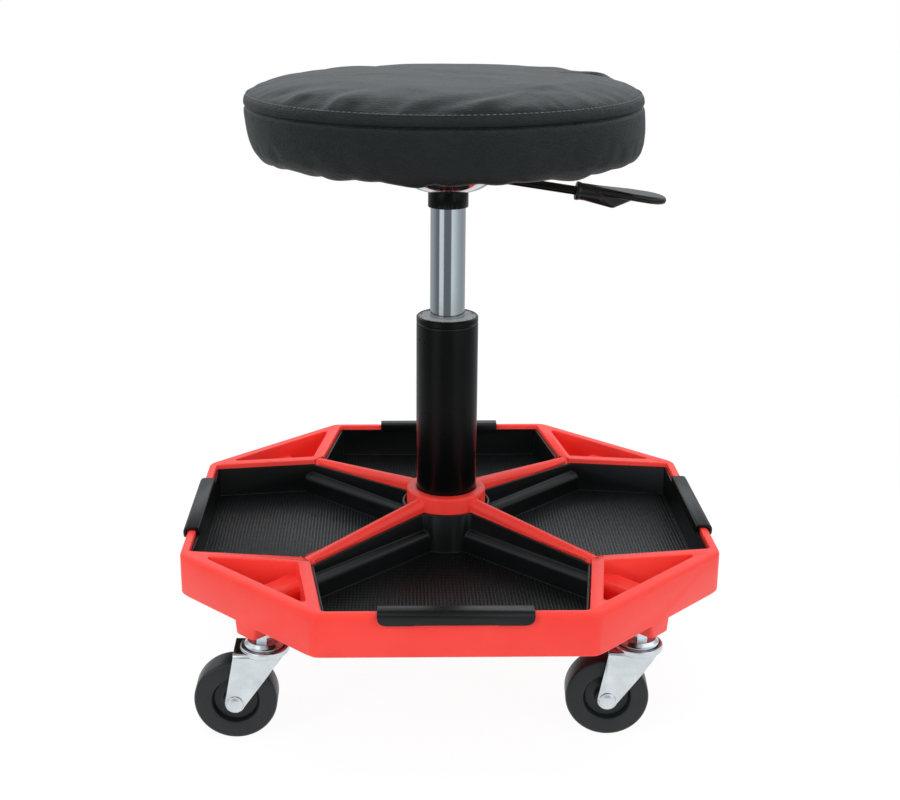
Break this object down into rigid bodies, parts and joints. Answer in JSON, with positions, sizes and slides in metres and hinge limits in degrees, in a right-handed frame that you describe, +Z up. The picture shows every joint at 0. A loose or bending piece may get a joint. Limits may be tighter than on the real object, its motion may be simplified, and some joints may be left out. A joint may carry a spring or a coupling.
{
  "type": "rolling mechanic's stool",
  "caption": "Rolling workshop stool: padded round swivel seat on a gas lift column, octagonal moulded base with lift-out tool trays and swivel casters.",
  "frame": {"origin": "on the floor, under the column's axis", "axes": "+Z up, -Y towards the tray at the front, +X towards the height lever"},
  "size_m": [0.4264, 0.4264, 0.486],
  "materials": {
    "red_polypropylene": "satin moulded",
    "tray_plastic": "satin moulded",
    "grip_plastic": "satin moulded",
    "bush_plastic": "moulded",
    "wheel_plastic": "moulded",
    "black_paint": "gloss",
    "chrome": "polished",
    "zinc": "bright zinc plated",
    "steel": "ground",
    "brass": "turned",
    "aluminium": "turned",
    "rubber": "moulded",
    "plywood": "sanded",
    "foam": "open cell",
    "vinyl": "grained"
  },
  "bodies": {
    "base": {"tray_base": "red_polypropylene", "stem_inserts": "brass", "column_tube": "black_paint", "guide_bush": "bush_plastic", "thrust_bearing": "steel", "front_left_stem": "zinc", "front_left_race": "zinc", "front_left_balls": "steel", "front_right_stem": "zinc", "front_right_race": "zinc", "front_right_balls": "steel", "rear_right_stem": "zinc", "rear_right_race": "zinc", "rear_right_balls": "steel", "rear_left_stem": "zinc", "rear_left_race": "zinc", "rear_left_balls": "steel"},
    "spindle": {"piston_rod": "steel", "piston": "aluminium", "rod_clip": "steel", "thrust_washer": "steel", "rod_buffer": "rubber"},
    "seat": {"gas_cylinder": "chrome", "rod_gland": "tray_plastic", "taper_socket": "black_paint", "seat_plate": "chrome", "lever_pin": "steel", "seat_board": "plywood", "seat_screws": "steel", "tee_nuts": "brass", "seat_foam": "foam", "seat_cover": "vinyl"},
    "lever": {"lever_rod": "black_paint", "lever_grip": "grip_plastic"},
    "valve": {"valve_pin": "brass"},
    "front_tray_body": {"front_tray": "tray_plastic"},
    "right_tray_body": {"right_tray": "tray_plastic"},
    "rear_tray_body": {"rear_tray": "tray_plastic"},
    "left_tray_body": {"left_tray": "tray_plastic"},
    "front_left_caster": {"front_left_fork": "zinc", "front_left_axle": "zinc", "front_left_sleeve": "steel"},
    "front_left_wheel_body": {"front_left_wheel": "wheel_plastic"},
    "front_right_caster": {"front_right_fork": "zinc", "front_right_axle": "zinc", "front_right_sleeve": "steel"},
    "front_right_wheel_body": {"front_right_wheel": "wheel_plastic"},
    "rear_right_caster": {"rear_right_fork": "zinc", "rear_right_axle": "zinc", "rear_right_sleeve": "steel"},
    "rear_right_wheel_body": {"rear_right_wheel": "wheel_plastic"},
    "rear_left_caster": {"rear_left_fork": "zinc", "rear_left_axle": "zinc", "rear_left_sleeve": "steel"},
    "rear_left_wheel_body": {"rear_left_wheel": "wheel_plastic"}
  },
  "joints": [
    {"name": "seat_swivel", "type": "hinge", "parent": "base", "child": "spindle", "pos_m": [0, 0, 0.1], "axis": [0, 0, 1], "continuous": true},
    {"name": "seat_lift", "type": "slide", "parent": "spindle", "child": "seat", "axis": [0, 0, 1], "range_m": [-0.08, 0]},
    {"name": "lever_pivot", "type": "hinge", "parent": "seat", "child": "lever", "pos_m": [0.022, 0, 0.40804], "axis": [0, -1, 0], "range_deg": [0, 4], "stiffness_Nm_per_rad": 1.5, "springref_deg": -4.58},
    {"name": "valve_press", "type": "slide", "parent": "seat", "child": "valve", "axis": [0, 0, 1], "range_m": [-0.0014, 0]},
    {"name": "front_tray_lift", "type": "slide", "parent": "base", "child": "front_tray_body", "axis": [0, 0, 1], "range_m": [0, 0.075]},
    {"name": "right_tray_lift", "type": "slide", "parent": "base", "child": "right_tray_body", "axis": [0, 0, 1], "range_m": [0, 0.075]},
    {"name": "rear_tray_lift", "type": "slide", "parent": "base", "child": "rear_tray_body", "axis": [0, 0, 1], "range_m": [0, 0.075]},
    {"name": "left_tray_lift", "type": "slide", "parent": "base", "child": "left_tray_body", "axis": [0, 0, 1], "range_m": [0, 0.075]},
    {"name": "front_left_swivel", "type": "hinge", "parent": "base", "child": "front_left_caster", "pos_m": [-0.14221, -0.14221, 0.076], "axis": [0, 0, 1], "continuous": true},
    {"name": "front_left_roll", "type": "hinge", "parent": "front_left_caster", "child": "front_left_wheel_body", "pos_m": [-0.16491, -0.14221, 0.03175], "axis": [0, 1, 0], "continuous": true},
    {"name": "front_right_swivel", "type": "hinge", "parent": "base", "child": "front_right_caster", "pos_m": [0.14221, -0.14221, 0.076], "axis": [0, 0, 1], "continuous": true},
    {"name": "front_right_roll", "type": "hinge", "parent": "front_right_caster", "child": "front_right_wheel_body", "pos_m": [0.11957, -0.14063, 0.03175], "axis": [0.0698, 0.9976, 0], "continuous": true},
    {"name": "rear_right_swivel", "type": "hinge", "parent": "base", "child": "rear_right_caster", "pos_m": [0.14221, 0.14221, 0.076], "axis": [0, 0, 1], "continuous": true},
    {"name": "rear_right_roll", "type": "hinge", "parent": "rear_right_caster", "child": "rear_right_wheel_body", "pos_m": [0.11979, 0.13866, 0.03175], "axis": [-0.1564, 0.9877, 0], "continuous": true},
    {"name": "rear_left_swivel", "type": "hinge", "parent": "base", "child": "rear_left_caster", "pos_m": [-0.14221, 0.14221, 0.076], "axis": [0, 0, 1], "continuous": true},
    {"name": "rear_left_roll", "type": "hinge", "parent": "rear_left_caster", "child": "rear_left_wheel_body", "pos_m": [-0.16442, 0.14693, 0.03175], "axis": [0.2079, 0.9781, 0], "continuous": true}
  ],
  "couplings": [
    {"joint": "valve_press", "follows": "lever_pivot", "m_per_rad": -0.019}
  ]
}
